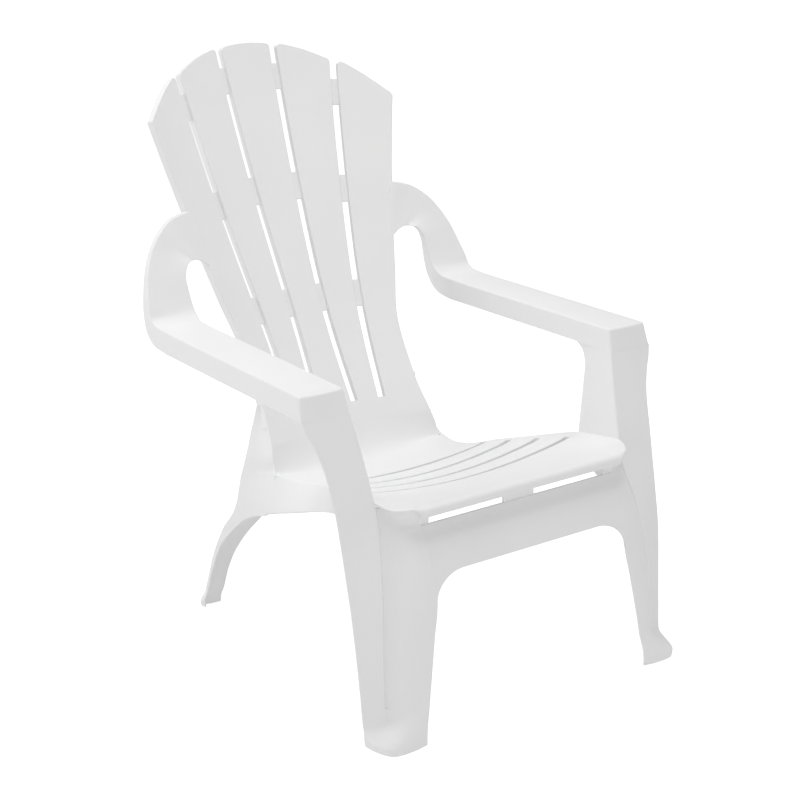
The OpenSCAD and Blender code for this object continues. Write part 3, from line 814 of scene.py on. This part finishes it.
def rear_foot():
    top = rear_row(REAR_LEG_ROWS[-1])
    rows = []
    for z in steps(0, FOOT_H, 24):
        leg = [p + (FOOT_H - z) * REAR_LEAN for p in top]
        rows.append(foot_row(REAR_SPREAD, leg, z, 2))
    return sheet(rows, level=True, radii=REAR_RADII, cuts=[3, 3, 5, 5],
                 seam=lambda a, b: min(a[2], b[2]) > FOOT_H - NEAR)


def rear_apron():
    half = REAR_APRON_HALF
    columns = []
    for x in steps(-half, half, 40):
        z0 = REAR_APRON_LOW + REAR_APRON_ARCH * (1 - (x / half)**2)
        columns.append([point(x, plate_y(x, rear_y(z), z), z)
                        for z in steps(z0, REAR_APRON_TOP, 30)])
    return sheet(columns, -WALL, level=True,
                 seam=lambda a, b: min(abs(a[0]), abs(b[0])) > half - NEAR)


# ---- Arms ----
def arm_surface(inset):
    """The arm's top, skirts and front face, moved inward by inset, and its quads."""
    edge_r, corner_r = max(3.0 - inset, 0.5), max(4.5 - inset, 0.8)
    side_n, front_n, turn_n = 46, 12, 6
    top = ARM_H - inset
    levels = [(z, 0) for z in steps(SKIRT_Z, top - edge_r, 5)]
    levels += [(top - edge_r * (1 - sin(a)), edge_r * (1 - cos(a)))
               for a in steps(0, pi / 2, 5)[1:]]
    rings = []
    for z, roll in levels:
        draft = ARM_DRAFT * (top - z) / (top - SKIRT_Z)
        bulge = mix(*FRONT_BULGE, (z - SKIRT_Z) / (top - SKIRT_Z))
        shrink = inset + roll

        def sides(y):
            u = (y - ARM_FRONT_Y) / (ARM_REAR_Y - ARM_FRONT_Y)
            return mix(*ARM_INNER, u) - draft + shrink, mix(*ARM_OUTER, u) + draft - shrink
        y_front = stem_y(min(z, ARM_H)) + shrink
        left, right = sides(y_front)
        centre, half = (left + right) / 2, (right - left) / 2

        def face_y(x):
            return y_front - bulge * (1 - ((x - centre) / half)**2)

        def around(side, way, a):
            x = side + way * r * (1 - cos(a))
            return point(x, face_y(x) + r * (1 - sin(a)), z)
        r = max(corner_r - roll, 0.4)
        turn = steps(0, pi / 2, turn_n)
        y_side = y_front + r
        ys = [mix(ARM_REAR_Y, y_side, i / side_n) for i in range(side_n)]
        ring = [point(sides(y)[0], y, z) for y in ys]
        ring += [around(left, 1, a) for a in turn]
        ring += [point(x, face_y(x), z) for x in steps(left + r, right - r, front_n)[1:-1]]
        ring += [around(right, -1, a) for a in reversed(turn)]
        ring += [point(sides(y)[1], y, z) for y in reversed(ys)]
        rings.append(ring)
    m = len(rings[0])
    verts = [p for ring in rings for p in ring]
    quads = grid_quads(len(rings), m)
    base = (len(rings) - 1) * m
    side_count = side_n + turn_n // 2 + 1
    front_ids = list(range(base + side_count - 1, base + m - side_count + 1))
    previous = front_ids
    for s in range(1, side_count):
        a, b = base + side_count - 1 - s, base + m - side_count + s
        row = [a]
        for u in steps(0, 1, len(front_ids) - 1)[1:-1]:
            crown = ARM_CROWN * 4 * u * (1 - u) * min(1, s / 6)
            verts.append(mix(verts[a], verts[b], u) + point(0, 0, crown))
            row.append(len(verts) - 1)
        row.append(b)
        quads += [(previous[j], row[j], row[j + 1], previous[j + 1]) for j in range(len(row) - 1)]
        previous = row
    return verts, quads


def arm():
    outer, quads = arm_surface(0)
    inner, _ = arm_surface(WALL)
    fixed = [point(q[0], min(q[1], ARM_REAR_Y), q[2]) for q in inner]

    def seam(a, b):
        at_rear = min(a[1], b[1]) > ARM_REAR_Y - NEAR
        low = max(a[2], b[2]) < SKIRT_Z + NEAR
        over_leg = max(a[1], b[1]) < panel_rear(SKIRT_Z) + 8 and max(a[0], b[0]) < 349
        return at_rear or (low and over_leg)
    return wall_mesh(outer, fixed, quads, seam)


def arm_bend():
    rows = []
    for r in dense(BEND_ROWS, 7):
        a, b = point(*r[:3]), point(*r[3:6])
        drop = r[6] * unit(point(0, 1 - r[7], -r[7]))
        spread = point(ARM_DRAFT * r[7], 0, 0)
        face = [mix(a, b, u) for u in steps(0, 1, 10)]
        rows.append([a + drop - spread] + face + [b + drop + spread])
    m = len(rows[0])
    last = [tuple(p) for p in rows[-1]]

    def seam(a, b):
        return max(a[1], b[1]) < ARM_REAR_Y + NEAR or (tuple(a) in last and tuple(b) in last)
    return sheet_some_corners(rows, {1: 3.0, m - 2: 3.0}, seam=seam)


# ---- Plastic ----
def moulded_plastic():
    """White satin polypropylene: a fine moulded grain, faint flow marks and slight tone drift."""
    material = bpy.data.materials.new("moulded_white_plastic")
    material.use_nodes = True
    nodes, links = material.node_tree.nodes, material.node_tree.links
    shader = nodes["Principled BSDF"]
    place = nodes.new("ShaderNodeTexCoord")

    def noise(scale, detail):
        node = nodes.new("ShaderNodeTexNoise")
        node.inputs["Scale"].default_value = scale
        node.inputs["Detail"].default_value = detail
        links.new(place.outputs["Object"], node.inputs["Vector"])
        return node
    drift, flow, grain = noise(DRIFT_SCALE, 2), noise(FLOW_SCALE, 4), noise(GRAIN_SCALE, 2)

    tone = nodes.new("ShaderNodeValToRGB")
    tone.color_ramp.elements[0].position = 0.3
    tone.color_ramp.elements[0].color = TONES[0]
    tone.color_ramp.elements[1].position = 0.7
    tone.color_ramp.elements[1].color = TONES[1]
    links.new(drift.outputs["Fac"], tone.inputs["Fac"])
    links.new(tone.outputs["Color"], shader.inputs["Base Color"])

    rough = nodes.new("ShaderNodeMapRange")
    rough.inputs["From Min"].default_value = 0.3
    rough.inputs["From Max"].default_value = 0.7
    rough.inputs["To Min"].default_value = ROUGHNESS[0]
    rough.inputs["To Max"].default_value = ROUGHNESS[1]
    links.new(flow.outputs["Fac"], rough.inputs["Value"])
    links.new(rough.outputs["Result"], shader.inputs["Roughness"])

    pebble = nodes.new("ShaderNodeTexVoronoi")
    pebble.feature = "SMOOTH_F1"
    pebble.inputs["Scale"].default_value = PEBBLE_SCALE
    links.new(place.outputs["Object"], pebble.inputs["Vector"])
    height = nodes.new("ShaderNodeMath")
    height.operation = "ADD"
    links.new(pebble.outputs["Distance"], height.inputs[0])
    links.new(grain.outputs["Fac"], height.inputs[1])
    bump = nodes.new("ShaderNodeBump")
    bump.inputs["Strength"].default_value = BUMP_STRENGTH
    bump.inputs["Distance"].default_value = BUMP_HEIGHT
    links.new(height.outputs["Value"], bump.inputs["Height"])
    links.new(bump.outputs["Normal"], shader.inputs["Normal"])

    shader.inputs["IOR"].default_value = 1.49
    shader.inputs["Specular IOR Level"].default_value = 0.35
    return material


# ---- Stage ----
def make_floor():
    material = bpy.data.materials.new("studio_floor")
    material.use_nodes = True
    nodes, links = material.node_tree.nodes, material.node_tree.links
    shader = nodes["Principled BSDF"]
    shader.inputs["Roughness"].default_value = 0.9
    shader.inputs["Specular IOR Level"].default_value = 0.0
    ray = nodes.new("ShaderNodeLightPath")
    glow = nodes.new("ShaderNodeMapRange")
    glow.inputs["To Min"].default_value = FLOOR_GLOW
    glow.inputs["To Max"].default_value = FLOOR_GLOW_SEEN
    links.new(ray.outputs["Is Camera Ray"], glow.inputs["Value"])
    links.new(glow.outputs["Result"], shader.inputs["Emission Strength"])
    shader.inputs["Emission Color"].default_value = (1, 1, 1, 1)
    tone = nodes.new("ShaderNodeTexNoise")
    tone.inputs["Scale"].default_value = 2
    ramp = nodes.new("ShaderNodeValToRGB")
    ramp.color_ramp.elements[0].color = FLOOR_TONES[0]
    ramp.color_ramp.elements[1].color = FLOOR_TONES[1]
    links.new(tone.outputs["Fac"], ramp.inputs["Fac"])
    links.new(ramp.outputs["Color"], shader.inputs["Base Color"])
    half = FLOOR_HALF
    mesh = bpy.data.meshes.new("floor")
    corners = [(-half, -half, 0), (half, -half, 0), (half, half, 0), (-half, half, 0)]
    mesh.from_pydata(corners, [], [(0, 1, 2, 3)])
    mesh.materials.append(material)
    floor = bpy.data.objects.new("floor", mesh)
    bpy.context.scene.collection.objects.link(floor)


def make_world():
    """Even white surroundings, dimmer for the light that falls on the object."""
    world = bpy.data.worlds.new("studio")
    bpy.context.scene.world = world
    world.use_nodes = True
    nodes, links = world.node_tree.nodes, world.node_tree.links
    nodes.clear()
    lit = nodes.new("ShaderNodeBackground")
    lit.inputs["Strength"].default_value = WORLD_LIGHT
    seen = nodes.new("ShaderNodeBackground")
    seen.inputs["Strength"].default_value = WORLD_SEEN
    seen.inputs["Color"].default_value = (1, 1, 1, 1)
    ray = nodes.new("ShaderNodeLightPath")
    blend = nodes.new("ShaderNodeMixShader")
    links.new(ray.outputs["Is Camera Ray"], blend.inputs["Fac"])
    links.new(lit.outputs["Background"], blend.inputs[1])
    links.new(seen.outputs["Background"], blend.inputs[2])
    out = nodes.new("ShaderNodeOutputWorld")
    links.new(blend.outputs["Shader"], out.inputs["Surface"])


def make_lamp(name, at, watts):
    light = bpy.data.lights.new(name, "AREA")
    light.shape = "DISK"
    light.size = LAMP_SIZE
    light.energy = watts
    lamp = bpy.data.objects.new(name, light)
    lamp.location = at
    lamp.rotation_euler = (Vector(LAMP_TARGET) - Vector(at)).to_track_quat("-Z", "Y").to_euler()
    bpy.context.scene.collection.objects.link(lamp)


def make_camera():
    azimuth, elevation = CAMERA_AZIMUTH, CAMERA_ELEVATION
    back = Vector((sin(azimuth) * cos(elevation), -cos(azimuth) * cos(elevation), sin(elevation)))
    data = bpy.data.cameras.new("camera")
    data.lens = CAMERA_LENS
    data.sensor_width = 36
    data.clip_end = 200
    camera = bpy.data.objects.new("camera", data)
    camera.location = CAMERA_AT
    camera.rotation_euler = (-back).to_track_quat("-Z", "Y").to_euler()
    bpy.context.scene.collection.objects.link(camera)
    bpy.context.scene.camera = camera


def build():
    plastic = moulded_plastic()
    for k, left, right in ((2, 1, 5), (1, 2, 4)):
        part = slat(k)
        add_piece(f"back_slat_{left}", mirrored(part), plastic)
        add_piece(f"back_slat_{right}", part, plastic)
    add_piece("back_slat_3", slat(0), plastic)
    for name, row in BRIDGE_ROWS.items():
        add_piece(name, bridges(row), plastic)
    add_piece("lumbar_panel", lumbar_panel(), plastic)
    half_slot = SEAT_SLOT / 2
    for n in range(4):
        rear = BEND_Y if n == 0 else slot_y(n - 1) - half_slot
        add_piece(f"seat_slat_{n + 1}", seat_slat(slot_y(n) + half_slot, rear), plastic)
    add_piece("seat_nose", seat_nose(), plastic)
    add_piece("front_apron", front_apron(), plastic)
    add_piece("apron_web", apron_web(), plastic)
    add_piece("rear_apron", rear_apron(), plastic)
    paired = {"seat_side": seat_side, "apron_cheek": apron_cheek, "front_leg": front_leg,
              "front_foot": front_foot, "rear_leg": rear_leg, "rear_foot": rear_foot,
              "arm": arm, "arm_bend": arm_bend}
    for name, make in paired.items():
        part = make()
        add_piece(name + "_left", mirrored(part), plastic)
        add_piece(name + "_right", part, plastic)


build()
make_floor()
make_world()
for lamp_name, (lamp_at, lamp_watts) in LAMPS.items():
    make_lamp(lamp_name, lamp_at, lamp_watts)
make_camera()
bpy.context.scene.view_settings.view_transform = "Standard"
